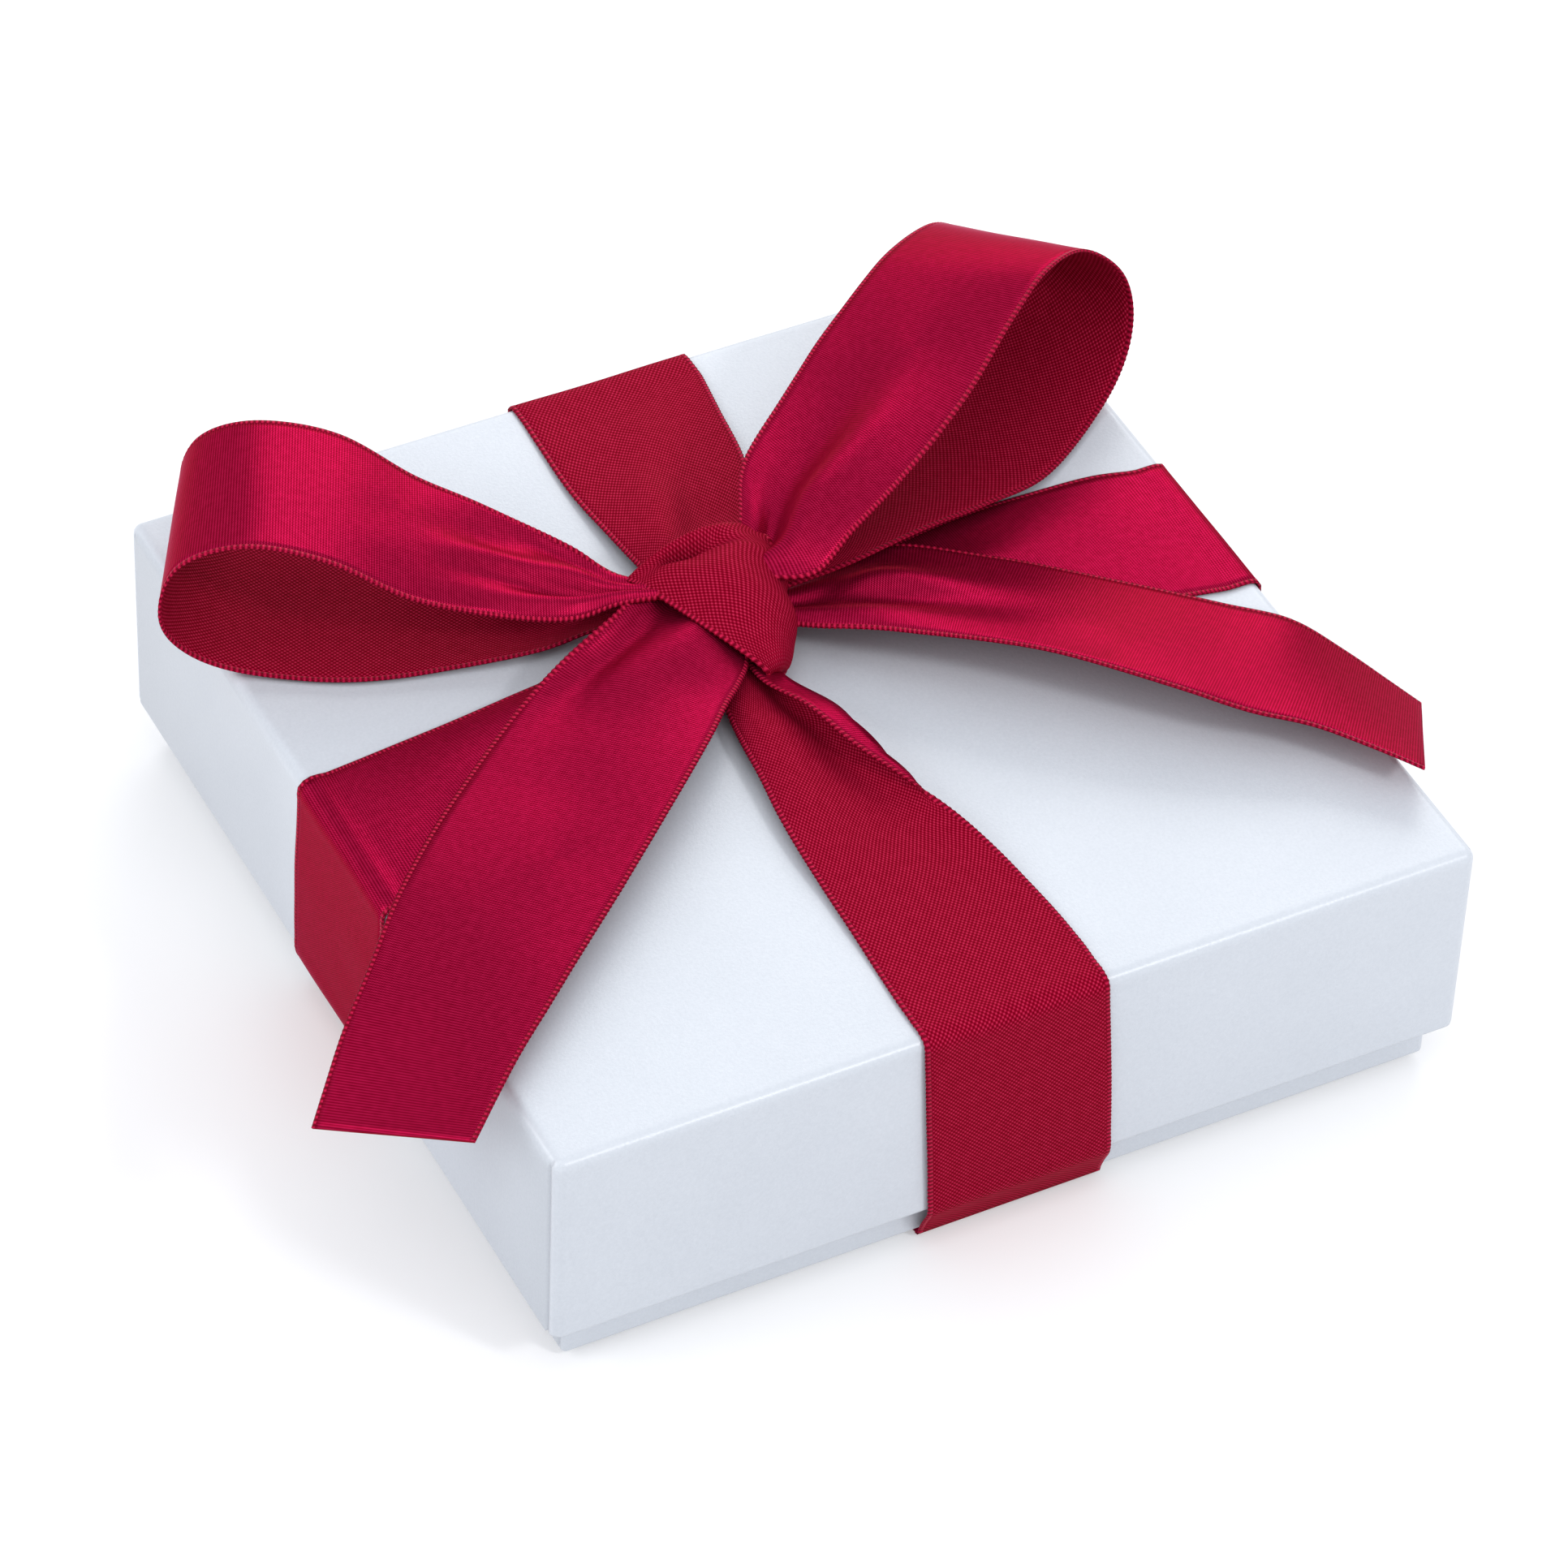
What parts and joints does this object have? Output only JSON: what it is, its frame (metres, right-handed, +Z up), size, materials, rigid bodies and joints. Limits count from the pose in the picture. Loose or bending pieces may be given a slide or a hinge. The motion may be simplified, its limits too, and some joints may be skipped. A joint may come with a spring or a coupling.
{
  "type": "gift box",
  "caption": "Square two-piece rigid gift box with a lift-off lid, tied both ways with one satin ribbon in a bow with two loops and two tails.",
  "frame": {"origin": "middle of the underside, on the ribbon where it crosses under the base", "axes": "+Z up through the lid, -Y to the front face and +X to the right face, all square to the box's sides"},
  "size_m": [0.1571, 0.1284, 0.0606],
  "materials": {
    "pearl_paper": "pearlescent bluish-white covering paper with a fine grain",
    "grey_board": "raw grey board",
    "lining_paper": "plain uncoated white paper",
    "corner_tape": "gummed kraft paper tape",
    "satin_ribbon": "single-face crimson satin, shiny on one side and dull on the other"
  },
  "bodies": {
    "base": {"base_board": "grey_board", "base_wrap": "pearl_paper", "base_liner": "lining_paper", "base_corner_stays": "corner_tape", "bottom_band_x": "satin_ribbon", "bottom_band_y": "satin_ribbon"},
    "lid": {"lid_board": "grey_board", "lid_wrap": "pearl_paper", "lid_liner": "lining_paper", "lid_corner_stays": "corner_tape", "top_band_front": "satin_ribbon", "top_band_back": "satin_ribbon", "top_band_left": "satin_ribbon", "top_band_right": "satin_ribbon", "half_knot": "satin_ribbon", "bow_knot": "satin_ribbon", "front_tail_root": "satin_ribbon", "right_tail_root": "satin_ribbon"},
    "front_band": {"side_band_front": "satin_ribbon"},
    "back_band": {"side_band_back": "satin_ribbon"},
    "left_band": {"side_band_left": "satin_ribbon"},
    "right_band": {"side_band_right": "satin_ribbon"},
    "left_loop": {"left_loop": "satin_ribbon"},
    "right_loop": {"right_loop": "satin_ribbon"},
    "front_tail": {"front_tail_end": "satin_ribbon"},
    "right_tail": {"right_tail_end": "satin_ribbon"}
  },
  "joints": [
    {"name": "lid_lift", "type": "slide", "parent": "base", "child": "lid", "axis": [0, 0, 1], "range_m": [0, 0.06]},
    {"name": "front_band_fold", "type": "hinge", "parent": "lid", "child": "front_band", "pos_m": [-0.0005, -0.064, 0.0376], "axis": [-1, 0, 0], "range_deg": [0, 90]},
    {"name": "back_band_fold", "type": "hinge", "parent": "lid", "child": "back_band", "pos_m": [0.0035, 0.064, 0.0376], "axis": [1, 0, 0], "range_deg": [0, 90]},
    {"name": "left_band_fold", "type": "hinge", "parent": "lid", "child": "left_band", "pos_m": [-0.064, -0.002, 0.0376], "axis": [0, 1, 0], "range_deg": [0, 90]},
    {"name": "right_band_fold", "type": "hinge", "parent": "lid", "child": "right_band", "pos_m": [0.064, 0.0045, 0.0376], "axis": [0, -1, 0], "range_deg": [0, 90]},
    {"name": "left_loop_lift", "type": "hinge", "parent": "lid", "child": "left_loop", "pos_m": [-0.01525, 0.01875, 0.04415], "axis": [0.5307, 0.8341, -0.1502], "range_deg": [0, 40]},
    {"name": "right_loop_lift", "type": "hinge", "parent": "lid", "child": "right_loop", "pos_m": [0.0065, 0.016, 0.04765], "axis": [0.3159, -0.9488, 0], "range_deg": [0, 35]},
    {"name": "front_tail_lift", "type": "hinge", "parent": "lid", "child": "front_tail", "pos_m": [-0.0205, 0.002, 0.0426], "axis": [-0.6615, 0.7496, -0.022], "range_deg": [0, 60]},
    {"name": "right_tail_lift", "type": "hinge", "parent": "lid", "child": "right_tail", "pos_m": [0.03031, -0.0047, 0.04369], "axis": [-0.5876, -0.7498, 0.3043], "range_deg": [0, 60]}
  ]
}
